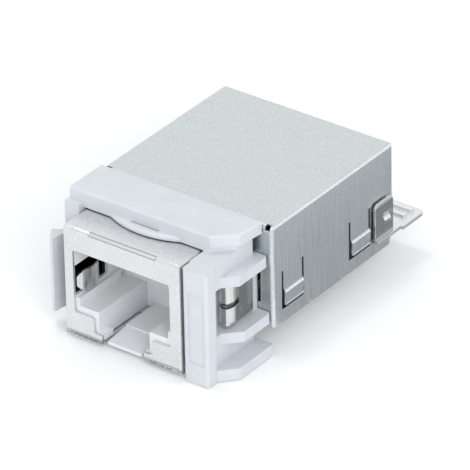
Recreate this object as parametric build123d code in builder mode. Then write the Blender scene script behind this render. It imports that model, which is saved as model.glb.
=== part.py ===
from build123d import *
import os

# Shielded snap-in ethernet jack, in millimetres.
# The origin is the centre of the plug opening, on the front face.
# X runs to the right as the plug sees it, Y runs back into the jack, Z is up.

os.makedirs("parts", exist_ok=True)

# Front face and its plug opening
face_width = 14.5
face_top = 6.15
face_bottom = -6.35
opening_width = 12.0
opening_height = 7.2
latch_step_width = 7.2
latch_step_drop = 1.7
latch_slot_width = 5.2
corner_radius = 0.3

# Front shield, a folded sheet
shield_sheet = 0.3
shield_bend = 0.4
shield_length = 10.4
shield_low_length = 6.6
shield_rear_bottom = -2.9
lip_setback = 0.03
lip_height = 0.5
lip_gap = 0.08
lock_slot_length = 8.3
lock_slot_drop = 0.31
lock_slot_depth = 0.4
lock_slot_shift = 0.2
shield_window_front = 4.6
shield_window_low = 3.0
shield_window_length = 1.8
shield_window_height = 1.6

# Socket insert and the room for the plug
fit_gap = 0.1
slide_gap = 0.05
socket_width = 11.9
socket_floor = -2.9
socket_ceiling = 3.85
socket_depth = 7.85
insert_setback = 0.02
insert_front_length = 9.0
insert_length = 15.4
insert_rear_bottom = -3.25
insert_step_place = 9.3
channel_width = 6.3
channel_length = 8.25
shoulder_depth = 1.5
strip_width = 4.2
strip_top = -5.5
strip_bottom = -6.2
strip_lip_length = 1.2
strip_step_place = 3.3
strip_ramp = 0.35
strip_rise = 0.15
ledge_width = 0.45
ledge_height = 0.9
ledge_setback = 0.8
side_window_length = 5.5
side_window_bottom = -1.8
side_window_top = 1.65

# Contact wires
contact_count = 8
contact_pitch = 1.02
contact_width = 0.45
contact_sheet = 0.35
contact_front = 2.6
contact_tail_row = 13.2
contact_row_step = 1.27
contact_drop = 2.7
contact_reach = 4.5
contact_turn = 0.45
contact_bend = 0.5
contact_heel = 0.1
contact_roof = 0.35
groove_room = 0.2
tail_room_length = 0.6
solder_length = 0.3

# Springs
spring_sheet = 0.2
plug_leaf_height = 2.4
plug_leaf_low = -1.5
plug_leaf_root = 4.6
plug_leaf_crest = 2.5
plug_leaf_tip = 0.45
plug_leaf_bulge = 1.45
plug_leaf_return = 0.75
panel_finger_height = 1.95
panel_finger_gap = 0.6
panel_finger_split = 5.7
panel_nose_front = 3.55
panel_leg_reach = 1.65
panel_nose_swell = 0.2
panel_spring_bend = 0.35
panel_nose_turn = 0.65

# Mounting frame
frame_left_margin = 1.95
wall_right_margin = 2.8
frame_front = 3.78
frame_back = 8.4
plate_back = 9.0
plate_top = 8.07
plate_thickness = 1.3
plate_chamfer_start_margin = 1.1
plate_chamfer_depth = 2.15
plate_right_margin = 3.18
plate_flare = 0.35
frame_bottom = -6.7
frame_gap = 0.17
post_width = 3.0
post_depth = 1.7
post_top = 6.13
panel_groove = 1.3
flange_thickness = 1.2
upper_flange_top = 4.38
middle_flange_top = -2.06
upper_flange_out = 1.35
middle_flange_out = 1.6
lower_flange_out = 2.1
web_thickness = 1.23
bar_length = 1.4
bar_height = 0.6
lower_flange_thickness = 1.3
column_width = 0.35
recess_depth = 0.15
left_block_front = 3.04
arm_thickness = 0.75
arm_slot = 0.5
arm_top = 3.7
arm_bottom = -4.75
arm_length = 4.5
arm_tip = 0.4
arm_splay = 0.37
barb_width = 0.98
barb_length = 1.56
finger_lip_bulge = 1.05
finger_lip_half_span = 4.55
finger_lip_centre = 0.35
finger_lip_height = 0.5
tool_slot_length = 3.5
tool_slot_width = 0.26
catch_length = 1.4
catch_height = 1.2
catch_depth = 0.38

# Rear shell
shell_left_margin = 1.87
shell_right_margin = 4.73
shell_front = 9.08
shell_length = 20.7
shell_top = 7.72
shell_bottom = -3.87
shell_sheet = 0.3
shell_bend = 0.4
tab_width = 3.12
tab_slot = 0.3
tab_top = 2.0
tab_bottom = -2.1
tab_knee = -0.05
tab_bulge = 0.28
tab_lip = 0.14
tab_places = (10.83, 22.3)
corner_notch = 0.6
corner_notch_edge = 0.3
side_slot_width = 0.4
side_slot_height = 3.7
cable_width = 8.6
cable_top = 5.4

# Strain relief, a ribbed sheet tongue
relief_sheet = 0.4
relief_top = -1.86
relief_front = 25.9
relief_back = 33.8
relief_shelf = 0.82
relief_rear_step = 0.3
relief_arm_offset = 0.18
relief_arm_height = 4.2
relief_arm_length = 3.1
relief_rib_height = 0.35
relief_rib_pitch = 1.25
relief_rib_margin = 0.95
relief_corner = 0.6
relief_ramp_length = 1.1
relief_ramp_height = 0.85
relief_ramp_depth = 0.5
latch_window_length = 1.5
latch_window_height = 1.3
latch_window_shift = 0.7
latch_window_middle = 0.1

# Circuit board and wire terminals
board_thickness = 1.0
board_bottom = 5.0
board_front = 10.6
board_back = 28.6
board_side_gap = 1.0
terminal_pitch = 3.6
terminal_width = 1.6
terminal_sheet = 0.3
terminal_slot = 0.35
terminal_slot_depth = 2.2
terminal_mouth = 0.55
terminal_neck = 0.9
terminal_length = 5.6
board_hole_radius = 0.36
board_slot_width = 1.2
board_slot_length = 0.6
block_depth = 3.6
block_height = 4.4
block_places = (18.6, 24.6)
block_overhang = 0.4
block_pocket_width = 1.0
block_pocket_height = 2.6
guide_top = 0.3
guide_floor_gap = 0.2
guide_end_gap = 0.15
guide_rim = 0.4
guide_groove_width = 1.1
guide_groove_depth = 0.4
guide_bay_depth = 1.6
guide_bay_wall = 4.0
guide_side_wall = 1.2

half_face = face_width / 2
frame_left = -half_face - frame_left_margin
wall_right = half_face + wall_right_margin
plate_chamfer_start = half_face + plate_chamfer_start_margin
plate_right = half_face + plate_right_margin
shell_left = -half_face - shell_left_margin
shell_right = half_face + shell_right_margin
shell_back = shell_front + shell_length
shell_middle = (shell_left + shell_right) / 2
opening_bottom = -opening_height / 2
step_bottom = opening_bottom - latch_step_drop
lip_top = face_bottom + lip_height


def box_between(x, y, z, mode=Mode.ADD):
    """A block given by its low and high bounds along each axis."""
    centre = ((x[0] + x[1]) / 2, (y[0] + y[1]) / 2, (z[0] + z[1]) / 2)
    with Locations(centre):
        Box(x[1] - x[0], y[1] - y[0], z[1] - z[0], mode=mode)


def save(part, label):
    part.label = label
    export_step(part, "parts/" + label + ".step")


# Front shield: one folded sheet. Its face carries the plug opening with the stepped latch slot, its
# top and sides run back through the mounting frame, and two flaps close the bottom beside the latch.
with BuildPart() as front_shield:
    with BuildSketch(Plane.XZ):
        with Locations((0, (face_top + face_bottom) / 2)):
            Rectangle(face_width, face_top - face_bottom)
    extrude(amount=-shield_length)
    rounded = front_shield.edges().filter_by(Axis.Z).group_by(Axis.Y)[0]
    rounded += front_shield.faces().sort_by(Axis.Z)[-1].edges().sort_by(Axis.Y)[:3]
    fillet(rounded, shield_bend)
    open_faces = [front_shield.faces().sort_by(Axis.Y)[-1], front_shield.faces().sort_by(Axis.Z)[0]]
    offset(amount=-shield_sheet, openings=open_faces)
    with BuildSketch(Plane.XZ):
        Rectangle(opening_width, opening_height)
        with Locations((0, (opening_bottom + step_bottom) / 2)):
            Rectangle(latch_step_width, latch_step_drop)
        fillet(vertices(), corner_radius)
        with Locations((0, (step_bottom + face_bottom) / 2)):
            Rectangle(latch_slot_width, step_bottom - face_bottom)
        with Locations((0, (lip_top + lip_gap + face_bottom) / 2)):
            Rectangle(face_width - 2 * shield_sheet, lip_top + lip_gap - face_bottom)
    extrude(amount=-shield_bend, mode=Mode.SUBTRACT)
    low_end = (shield_low_length, shield_length)
    box_between((-face_width, face_width), low_end, (face_bottom, shield_rear_bottom), Mode.SUBTRACT)
    flap_width = (face_width - latch_slot_width) / 2
    with BuildSketch(Plane.YZ.offset(latch_slot_width / 2)):
        with BuildLine():
            Polyline(
                (lip_setback, lip_top),
                (lip_setback, face_bottom),
                (shield_low_length, face_bottom),
            )
            offset(amount=shield_sheet, side=Side.LEFT)
        make_face()
    extrude(amount=flap_width - shield_sheet)
    mirror(about=Plane.YZ)
    slot_ends = (lock_slot_shift - lock_slot_length / 2, lock_slot_shift + lock_slot_length / 2)
    box_between(slot_ends, (-1, lock_slot_depth), (face_top - lock_slot_drop, face_top + 1), Mode.SUBTRACT)
    with BuildSketch(Plane.YZ.offset(-face_width)):
        with Locations((shield_window_front, shield_window_low)):
            Rectangle(shield_window_length, shield_window_height, align=(Align.MIN, Align.MIN))
    extrude(amount=2 * face_width, mode=Mode.SUBTRACT)

save(front_shield.part, "front_shield")

# Socket insert: the moulded contact carrier. Its cavity takes the plug body on two shelves, the
# latch runs in the channel between them, and the rear block holds the contact tails.
insert_half = face_width / 2 - shield_sheet - fit_gap
insert_top = face_top - shield_sheet - slide_gap
insert_front = shield_sheet + insert_setback
insert_bottom = face_bottom + shield_sheet + fit_gap
socket_half = socket_width / 2
contact_ceiling = socket_ceiling + contact_roof
contact_places = [(i - (contact_count - 1) / 2) * contact_pitch for i in range(contact_count)]

with BuildPart() as socket_insert:
    with BuildSketch(Plane.XZ.offset(-insert_front)):
        with Locations((0, (insert_top + insert_bottom) / 2)):
            Rectangle(2 * insert_half, insert_top - insert_bottom)
        fillet(vertices(), shield_bend - fit_gap)
    extrude(amount=insert_front - insert_front_length)
    rear = (insert_front_length, insert_length)
    box_between((-insert_half, insert_half), rear, (insert_rear_bottom, insert_top))
    step = (insert_step_place, insert_length)
    box_between((-insert_half, insert_half), step, (board_bottom - fit_gap, insert_top), Mode.SUBTRACT)
    lip_room = (0, lip_setback + shield_sheet + fit_gap)
    lip_room_top = lip_top + lip_gap
    box_between((-face_width, face_width), lip_room, (face_bottom, lip_room_top), Mode.SUBTRACT)
    cavity = (0, socket_depth)
    box_between((-socket_half, socket_half), cavity, (socket_floor, socket_ceiling), Mode.SUBTRACT)
    channel = (insert_front + shoulder_depth, channel_length)
    half_channel = channel_width / 2
    box_between((-half_channel, half_channel), channel, (face_bottom, socket_floor), Mode.SUBTRACT)
    mouth = (0, channel[0] + fit_gap)
    half_slot = latch_slot_width / 2
    box_between((-half_channel, half_channel), mouth, (step_bottom + fit_gap, socket_floor), Mode.SUBTRACT)
    box_between((-half_slot, half_slot), mouth, (face_bottom, socket_floor), Mode.SUBTRACT)
    with BuildSketch(Plane.YZ.offset(-strip_width / 2)):
        with BuildLine():
            Polyline(
                (insert_front, strip_bottom),
                (insert_front, strip_top - strip_ramp),
                (strip_step_place, strip_top),
                (strip_step_place, strip_top + strip_rise),
                (channel_length + fit_gap, strip_top + strip_rise),
                (channel_length + fit_gap, insert_bottom),
                (strip_step_place, insert_bottom),
                (insert_front + strip_lip_length, strip_bottom),
                close=True,
            )
        make_face()
    extrude(amount=strip_width)
    ledge_top = socket_floor + ledge_height
    side_window = (0, side_window_length)
    window_height = (side_window_bottom, side_window_top)
    for side in (-1, 1):
        inner = sorted((side * socket_half, side * (socket_half - ledge_width)))
        box_between(inner, (insert_front, socket_depth - ledge_setback), (socket_floor, ledge_top))
        through = sorted((side * (socket_half - 1), side * (insert_half + 1)))
        box_between(through, side_window, window_height, Mode.SUBTRACT)
        pocket = sorted((side * (insert_half - spring_sheet), side * (insert_half + 1)))
        box_between(pocket, (0, channel_length + 0.4), window_height, Mode.SUBTRACT)
    for x in contact_places:
        groove = (x - contact_width / 2 - fit_gap, x + contact_width / 2 + fit_gap)
        groove_top = contact_ceiling + contact_sheet + groove_room
        tail_room = (contact_front - contact_roof, contact_tail_row + contact_row_step + tail_room_length)
        box_between(groove, tail_room, (socket_ceiling, groove_top), Mode.SUBTRACT)
        tail_cut = (contact_tail_row - 3 * fit_gap, tail_room[1])
        box_between(groove, tail_cut, (groove_top - groove_room, face_top), Mode.SUBTRACT)
        comb_cut = (socket_depth - fit_gap, socket_depth + contact_bend)
        comb_low = contact_ceiling - contact_drop - contact_bend
        box_between(groove, comb_cut, (comb_low, groove_top), Mode.SUBTRACT)
    rib_low = face_top - lock_slot_drop + fit_gap / 2
    rib_back = lock_slot_depth - fit_gap / 2
    with BuildSketch(Plane.YZ.offset(slot_ends[0] + fit_gap / 2)):
        with BuildLine():
            Polyline(
                (lip_setback, rib_low),
                (lip_setback, face_top - lip_setback),
                (rib_back, face_top - lip_setback),
                (rib_back, insert_top - fit_gap),
                (insert_front, insert_top - fit_gap),
                (insert_front, rib_low),
                close=True,
            )
        make_face()
        fillet(vertices().group_by(Axis.Y)[-1].sort_by(Axis.X)[0], lock_slot_drop / 2)
    extrude(amount=lock_slot_length - fit_gap)

save(socket_insert.part, "socket_insert")

# Contact wires: each runs forward under the ceiling, turns round at the front and slopes back
# into the socket, where the plug presses it up. The tails alternate between two rows.
for number, x in enumerate(contact_places, start=1):
    tail = contact_tail_row + (number % 2) * contact_row_step
    with BuildPart() as contact:
        with BuildSketch(Plane.YZ.offset(x - contact_width / 2)):
            with BuildLine():
                run_height = contact_ceiling + contact_sheet
                tail_top = board_bottom + board_thickness + solder_length
                rise = Line((tail, tail_top), (tail, run_height + contact_bend))
                bend = TangentArc(rise @ 1, (tail - contact_bend, run_height), tangent=rise % 1)
                nose_place = contact_front + contact_turn
                run = Line(bend @ 1, (nose_place, run_height))
                nose = TangentArc(run @ 1, (nose_place, run_height - 2 * contact_turn), tangent=run % 1)
                slope_end = (contact_front + contact_reach, run_height - contact_drop)
                slope = Line(nose @ 1, slope_end)
                Line(slope @ 1, (slope_end[0] + contact_bend, slope_end[1] + contact_heel))
                offset(amount=contact_sheet, side=Side.LEFT)
            make_face()
        extrude(amount=contact_width)
    save(contact.part, "contact_" + str(number))

# Plug springs: a thin plate in the pocket on each side of the insert, with one round-ended leaf
# that bows in through the side window to touch the plug's own shield.
plate_face = insert_half - spring_sheet + 0.02

with BuildPart() as plug_spring_left:
    plate_side = (-plate_face - spring_sheet, -plate_face)
    plate_height = (side_window_bottom + fit_gap / 2, side_window_top - fit_gap / 2)
    box_between(plate_side, (plug_leaf_root, channel_length + 0.3), plate_height)
    with BuildSketch(Plane.XY.offset(plug_leaf_low)):
        with BuildLine():
            foot = Line((-plate_face, plug_leaf_root + 0.5), (-plate_face, plug_leaf_root))
            crest = (-plate_face + plug_leaf_bulge, plug_leaf_crest)
            ThreePointArc(foot @ 1, crest, (-plate_face + plug_leaf_return, plug_leaf_tip))
            offset(amount=spring_sheet, side=Side.RIGHT)
        make_face()
    extrude(amount=plug_leaf_height)
    tip_radius = plug_leaf_height / 2
    with BuildSketch(Plane.YZ.offset(-plate_face)):
        with Locations((plug_leaf_tip - 0.2, plug_leaf_low + tip_radius)):
            Rectangle(tip_radius + 0.2, plug_leaf_height + 1, align=(Align.MIN, Align.CENTER))
        with Locations((plug_leaf_tip - 0.1 + tip_radius, plug_leaf_low + tip_radius)):
            Circle(tip_radius, mode=Mode.SUBTRACT)
    extrude(amount=plug_leaf_bulge + 1, mode=Mode.SUBTRACT)

save(plug_spring_left.part, "plug_spring_left")

with BuildPart() as plug_spring_right:
    mirror(plug_spring_left.part, about=Plane.YZ)

save(plug_spring_right.part, "plug_spring_right")

# Panel spring: a sheet folded back on itself. Its inner leg lies on the right web of the mounting
# frame, and its outer leg splits into two fingers whose noses curl in and press on the panel.
pass_half = face_width / 2 + frame_gap
pass_top = face_top + 0.12
web_face = pass_half + web_thickness
spring_top = upper_flange_top - flange_thickness - 0.2
spring_bottom = spring_top - 2 * panel_finger_height - panel_finger_gap
spring_back = frame_back - 0.2

with BuildPart() as panel_spring:
    with BuildSketch(Plane.XY.offset(spring_bottom)):
        with BuildLine():
            outer_leg = web_face + panel_leg_reach
            FilletPolyline(
                (web_face, panel_finger_split - 0.7),
                (web_face, spring_back),
                (outer_leg, spring_back),
                (outer_leg, panel_finger_split),
                (outer_leg + panel_nose_swell, panel_nose_front + 1.0),
                (outer_leg, panel_nose_front + 0.2),
                (outer_leg - panel_nose_turn, panel_nose_front),
                (outer_leg - 2 * panel_nose_turn, panel_nose_front + 0.5),
                radius=panel_spring_bend,
            )
            offset(amount=spring_sheet, side=Side.LEFT)
        make_face()
    extrude(amount=spring_top - spring_bottom)
    split_height = (spring_bottom + panel_finger_height, spring_top - panel_finger_height)
    split = (web_face + spring_sheet, wall_right + 2)
    box_between(split, (0, panel_finger_split), split_height, Mode.SUBTRACT)

save(panel_spring.part, "panel_spring")

# Mounting frame: the moulded collar round the front shield. The post and the right flanges grip
# the panel on one side, the snap arm on the other.
plate_low = plate_top - plate_thickness
arm_inner = frame_left + arm_thickness
arm_root = left_block_front + arm_length
post_left = pass_half + frame_gap
post_right = post_left + post_width
flange_front = post_depth + panel_groove
column = (wall_right - column_width, wall_right)

with BuildPart() as mounting_frame:
    with BuildSketch(Plane.XY.offset(plate_low)):
        with BuildLine():
            Polyline(
                (frame_left, frame_front),
                (plate_chamfer_start, frame_front),
                (plate_right, frame_front + plate_chamfer_depth),
                (plate_right + plate_flare, plate_back),
                (frame_left, plate_back),
                close=True,
            )
        make_face()
        fillet(vertices().group_by(Axis.X)[0].sort_by(Axis.Y)[0], 0.25)
        fillet(vertices().sort_by(Axis.X)[3:4], 0.4)
    extrude(amount=plate_thickness)
    rim = mounting_frame.faces().sort_by(Axis.Z)[-1].edges().filter_by_position(Axis.Y, 3, plate_back - 0.1)
    fillet(rim, 0.25)
    block_depth_range = (left_block_front, frame_back)
    box_between((frame_left, -pass_half), block_depth_range, (frame_bottom, plate_low))
    box_between((frame_left, pass_half), (frame_front, frame_back), (pass_top, plate_low))
    with BuildSketch(Plane.XY.offset(post_top - 0.2)):
        with BuildLine():
            Polyline(
                (pass_half, frame_front),
                (plate_chamfer_start - plate_flare, frame_front),
                (wall_right, frame_front + plate_chamfer_depth),
                (wall_right, frame_back),
                (pass_half, frame_back),
                close=True,
            )
        make_face()
    extrude(amount=plate_low - post_top + 0.2)
    box_between((pass_half, wall_right), (post_depth - 0.2, frame_back), (frame_bottom, post_top))
    bar_range = (frame_back - bar_length, frame_back)
    box_between((frame_left, wall_right), bar_range, (frame_bottom, frame_bottom + bar_height))
    with BuildSketch(Plane.XY.offset(frame_bottom)):
        with Locations(((post_left + post_right) / 2, post_depth / 2)):
            RectangleRounded(post_width, post_depth, 0.35)
    extrude(amount=post_top - frame_bottom)
    recess_width = (post_left + 0.65, post_right - 0.4)
    box_between(recess_width, (-1, recess_depth), (arm_bottom + 0.25, arm_top - 0.2), Mode.SUBTRACT)
    flange_plans = (
        (upper_flange_top, flange_thickness, upper_flange_out),
        (middle_flange_top, flange_thickness, middle_flange_out),
    )
    for top, thickness, reach in flange_plans:
        with BuildSketch(Plane.XY.offset(top - thickness)):
            with BuildLine():
                Polyline(
                    (column[0], flange_front),
                    (wall_right, flange_front),
                    (wall_right + reach, flange_front + reach),
                    (wall_right + reach, plate_back),
                    (column[0], plate_back),
                    close=True,
                )
            make_face()
            fillet(vertices().group_by(Axis.X)[-1], 0.3)
        extrude(amount=thickness)
    with BuildSketch(Plane.XY.offset(frame_bottom)):
        with BuildLine():
            Polyline(
                (column[0], post_depth - 0.2),
                (post_right, post_depth - 0.2),
                (wall_right + lower_flange_out, flange_front + 0.2),
                (wall_right + lower_flange_out, plate_back - 0.25),
                (column[0], plate_back - 0.25),
                close=True,
            )
        make_face()
        fillet(vertices().group_by(Axis.X)[-1], 0.3)
    extrude(amount=lower_flange_thickness)
    window_low = middle_flange_top
    window_high = upper_flange_top - flange_thickness
    window_depth = (post_depth + 0.5, frame_back)
    box_between((web_face, wall_right + 1), window_depth, (window_low, window_high), Mode.SUBTRACT)
    box_between(column, (frame_back - 0.1, plate_back), (window_low - 0.2, window_high + 0.2))
    arm_room = (frame_left - 1, arm_inner + arm_slot)
    arm_gap = (arm_bottom - 0.4, arm_top + 0.4)
    box_between(arm_room, (0, arm_root), arm_gap, Mode.SUBTRACT)
    with BuildSketch(Plane.XY.offset(arm_bottom)):
        with BuildLine():
            Polyline(
                (arm_inner, arm_root + 0.2),
                (arm_inner, left_block_front),
                (arm_inner - arm_splay, arm_tip),
                (arm_inner - arm_splay - 0.32, arm_tip),
                (arm_inner - arm_splay - 0.32 - barb_width, arm_tip + barb_length),
                (frame_left, arm_tip + barb_length + 0.55),
                (frame_left, arm_root + 0.2),
                close=True,
            )
        make_face()
    extrude(amount=arm_top - arm_bottom)
    with BuildSketch(Plane.XY.offset(pass_top)):
        with BuildLine():
            left_end = (finger_lip_centre - finger_lip_half_span, frame_front + 0.1)
            right_end = (finger_lip_centre + finger_lip_half_span, frame_front + 0.1)
            ThreePointArc(left_end, (finger_lip_centre, frame_front - finger_lip_bulge), right_end)
            Line(right_end, left_end)
        make_face()
    extrude(amount=finger_lip_height)
    lip_edges = mounting_frame.edges().filter_by(GeomType.CIRCLE).filter_by_position(
        Axis.Z, pass_top + finger_lip_height - 0.01, pass_top + finger_lip_height + 0.01
    )
    chamfer(lip_edges.sort_by(SortBy.LENGTH)[-1], 0.25)
    with BuildSketch(Plane.XY.offset(pass_top)):
        with Locations((finger_lip_centre + 0.1, frame_front - 0.2)):
            SlotOverall(tool_slot_length, tool_slot_width)
    extrude(amount=finger_lip_height, mode=Mode.SUBTRACT)
    catch_back = shield_window_front + shield_window_length - fit_gap
    catch_low = shield_window_low + (shield_window_height - catch_height) / 2
    for side in (-1, 1):
        with BuildSketch(Plane.XY.offset(catch_low)):
            with BuildLine():
                Polyline(
                    (side * (pass_half + fit_gap), catch_back - catch_length),
                    (side * (pass_half - catch_depth), catch_back),
                    (side * (pass_half + fit_gap), catch_back),
                    close=True,
                )
            make_face()
        extrude(amount=catch_height)

save(mounting_frame.part, "mounting_frame")

# Rear shell: a folded sheet box, open below. Its front returns frame the insert, its rear wall has
# the arched cable opening, and two spring tabs stand out of each side.
with BuildPart() as rear_cover:
    with Locations((shell_middle, (shell_front + shell_back) / 2, (shell_top + shell_bottom) / 2)):
        Box(shell_right - shell_left, shell_length, shell_top - shell_bottom)
    bends = rear_cover.edges().filter_by(Axis.Z) + rear_cover.faces().sort_by(Axis.Z)[-1].edges()
    fillet(bends, shell_bend)
    offset(amount=-shell_sheet, openings=rear_cover.faces().sort_by(Axis.Z)[0])
    with BuildSketch(Plane.XZ.offset(-shell_front + 1)):
        Rectangle(2 * (face_width / 2 + 0.25), 2 * (face_top + 0.35))
    extrude(amount=-1 - shell_bend, mode=Mode.SUBTRACT)
    arch_low = relief_top + 0.06
    with BuildSketch(Plane.XZ.offset(-shell_back - 1)):
        with Locations((shell_middle, (arch_low - 1 + cable_top) / 2)):
            Rectangle(cable_width, cable_top - arch_low + 1)
        fillet(vertices().group_by(Axis.Y)[-1], cable_width / 2 - 0.6)
    extrude(amount=1 + shell_bend, mode=Mode.SUBTRACT)
    box_between((-30, 30), (shell_back - shell_bend - 0.3, shell_back + 1), (-9, arch_low), Mode.SUBTRACT)
    relief_slot = (relief_top - relief_sheet - 0.06, arch_low)
    box_between((-30, 30), (relief_front - 0.1, shell_back + 1), relief_slot, Mode.SUBTRACT)
    for side in (-1, 1):
        half = (shell_right - shell_left) / 2
        wall = sorted((shell_middle + side * (half + 1), shell_middle + side * (half - 1)))
        for place in tab_places:
            tab_room = (place - tab_slot, place + tab_width + tab_slot)
            box_between(wall, tab_room, (tab_bottom - tab_slot, tab_top), Mode.SUBTRACT)
            face = shell_middle + side * half
            inside = face - side * shell_sheet
            tab_line = (
                (inside, tab_top + 0.1),
                (inside, tab_knee),
                (inside + side * tab_bulge, tab_knee - 1.5 * tab_bulge),
                (inside + side * (tab_bulge - tab_lip), tab_bottom + 0.5),
                (inside + side * tab_bulge, tab_bottom + 0.2),
            )
            far_line = [(x + side * shell_sheet, z) for x, z in reversed(tab_line)]
            with BuildSketch(Plane.XZ.offset(-place)):
                with BuildLine():
                    Polyline(*tab_line, *far_line, close=True)
                make_face()
            extrude(amount=-tab_width)
        corner = sorted((face - side * corner_notch_edge, face - side * (corner_notch_edge + corner_notch)))
        corner_height = (shell_top - corner_notch, shell_top + 1)
        box_between(corner, (0, shell_front + corner_notch), corner_height, Mode.SUBTRACT)
        window_middle = relief_front + relief_arm_length / 2 + latch_window_shift
        ramp_low = latch_window_middle - relief_ramp_height / 2
        ramp_top = latch_window_middle + relief_ramp_height / 2
        ramp_tip = (face + side * relief_ramp_depth, ramp_low)
        with BuildSketch(Plane.XZ.offset(-window_middle + relief_ramp_length / 2)):
            with BuildLine():
                Polyline((inside, ramp_top), (face, ramp_top), ramp_tip, (inside, ramp_low), close=True)
            make_face()
        extrude(amount=-relief_ramp_length)
    side_slot = (wall_right - 0.15, wall_right + side_slot_width)
    slot_middle = (upper_flange_top - flange_thickness + middle_flange_top) / 2
    slot_height = (slot_middle - side_slot_height / 2, slot_middle + side_slot_height / 2)
    box_between(side_slot, (0, shell_front + shell_bend), slot_height, Mode.SUBTRACT)
    notch = (shell_front + 6.1, shell_front + 6.5)
    box_between((-30, 30), notch, (shell_bottom - 1, shell_bottom + 0.35), Mode.SUBTRACT)

save(rear_cover.part, "rear_cover")

# Base tray: a shallow sheet pan that closes the bottom of the rear shell.
tray_side = (shell_right - shell_left) / 2 - shell_sheet - 0.05

with BuildPart() as base_tray:
    tray = (shell_front + shell_sheet + 0.05, shell_back - 0.02)
    tray_height = (shell_bottom, relief_top - relief_sheet - 0.25)
    box_between((shell_middle - tray_side, shell_middle + tray_side), tray, tray_height)
    fillet(base_tray.faces().sort_by(Axis.Z)[0].edges().sort_by(Axis.Y)[1:], shell_bend)
    open_sides = [base_tray.faces().sort_by(Axis.Z)[-1], base_tray.faces().sort_by(Axis.Y)[0]]
    offset(amount=-shell_sheet, openings=open_sides)

save(base_tray.part, "base_tray")

# Strain relief: a sheet tongue through slots in the shell's sides, with a snap arm turned up on
# each side and two pressed ribs where the cable is tied.
relief_half = (shell_right - shell_left) / 2 + relief_shelf
arm_face = (shell_right - shell_left) / 2 + relief_arm_offset

with BuildPart() as strain_relief:
    relief_low = relief_top - relief_sheet
    edges_of_tongue = (shell_middle - relief_half, shell_middle + relief_half)
    box_between(edges_of_tongue, (relief_front, relief_back), (relief_low, relief_top))
    wide_part = (shell_back + 0.15, relief_back)
    wider = (edges_of_tongue[0] - relief_rear_step, edges_of_tongue[1] + relief_rear_step)
    box_between(wider, wide_part, (relief_low, relief_top))
    fillet(strain_relief.edges().filter_by(Axis.Z).group_by(Axis.Y)[-1], relief_corner)
    for row in range(2):
        with BuildSketch(Plane.YZ.offset(edges_of_tongue[0] + relief_corner)):
            with Locations((relief_back - relief_rib_margin - row * relief_rib_pitch, relief_top)):
                Circle(relief_rib_height)
                Rectangle(2, 2, align=(Align.CENTER, Align.MAX), mode=Mode.SUBTRACT)
        extrude(amount=2 * (relief_half - relief_corner))
    for side in (-1, 1):
        near = shell_middle + side * arm_face
        with BuildSketch(Plane.YZ.offset(near)):
            middle = relief_front + fit_gap + relief_arm_length / 2
            with Locations((middle, relief_low + relief_arm_height / 2 + 0.1)):
                Rectangle(relief_arm_length, relief_arm_height + 0.2)
            fillet(vertices().group_by(Axis.Y)[-1], relief_corner)
            with Locations((middle - fit_gap + latch_window_shift, latch_window_middle)):
                Rectangle(latch_window_length, latch_window_height, mode=Mode.SUBTRACT)
        extrude(amount=side * shell_sheet)
        reach = sorted((near, near + side * (shell_sheet + slide_gap)))
        arm_length_range = (middle - relief_arm_length / 2, middle + relief_arm_length / 2)
        box_between(reach, arm_length_range, (relief_low, relief_top))

save(strain_relief.part, "strain_relief")

# Circuit board between the contact tails and the wire terminals, with a hole for each of them.
board_left = shell_left + shell_sheet + board_side_gap
board_right = shell_right - shell_sheet - board_side_gap
terminals = []
for row, place in enumerate(block_places):
    for column_index in range(4):
        terminals.append((shell_middle + (column_index - 1.5) * terminal_pitch, place))

with BuildPart() as circuit_board:
    board = (board_bottom, board_bottom + board_thickness)
    box_between((board_left, board_right), (board_front, board_back), board)
    for number, x in enumerate(contact_places, start=1):
        tail = contact_tail_row + (number % 2) * contact_row_step + contact_sheet / 2
        with Locations((x, tail, board_bottom)):
            Cylinder(board_hole_radius, 4 * board_thickness, mode=Mode.SUBTRACT)
    for x, y in terminals:
        with Locations((x, y, board_bottom)):
            Box(board_slot_width, board_slot_length, 4 * board_thickness, mode=Mode.SUBTRACT)

save(circuit_board.part, "circuit_board")

# Terminal blocks and their forked terminals, which hang under the board and bite on the wires.
block_top = board_bottom - slide_gap
block_half_width = 2 * terminal_pitch + block_overhang

for label, place in zip(("idc_block_front", "idc_block_rear"), block_places):
    with BuildPart() as block:
        body = (place - block_depth / 2, place + block_depth / 2)
        ends = (shell_middle - block_half_width, shell_middle + block_half_width)
        box_between(ends, body, (block_top - block_height, block_top))
        for x, y in terminals[:4]:
            low = (block_top - block_height, block_top - block_height + block_pocket_height)
            pocket = (x - block_pocket_width / 2, x + block_pocket_width / 2)
            box_between(pocket, body, low, Mode.SUBTRACT)
            slit = (place - terminal_sheet / 2 - slide_gap, place + terminal_sheet / 2 + slide_gap)
            blade = (x - terminal_width / 2 - slide_gap, x + terminal_width / 2 + slide_gap)
            box_between(blade, slit, (block_top - block_height, block_top), Mode.SUBTRACT)
    save(block.part, label)

for number, (x, y) in enumerate(terminals, start=1):
    with BuildPart() as terminal:
        with BuildSketch(Plane.XZ.offset(-y + terminal_sheet / 2)):
            blade_top = board_bottom + board_thickness + solder_length
            blade_low = blade_top - terminal_length
            with Locations((x, (blade_low + block_top) / 2)):
                Rectangle(terminal_width, block_top - blade_low)
            with Locations((x, (blade_low + blade_top) / 2)):
                Rectangle(terminal_neck, terminal_length)
            with Locations((x, blade_low)):
                Rectangle(terminal_slot, 2 * terminal_slot_depth, mode=Mode.SUBTRACT)
                RegularPolygon(terminal_mouth, 4, rotation=0, mode=Mode.SUBTRACT)
        extrude(amount=-terminal_sheet)
    save(terminal.part, "idc_" + str(number))

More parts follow.
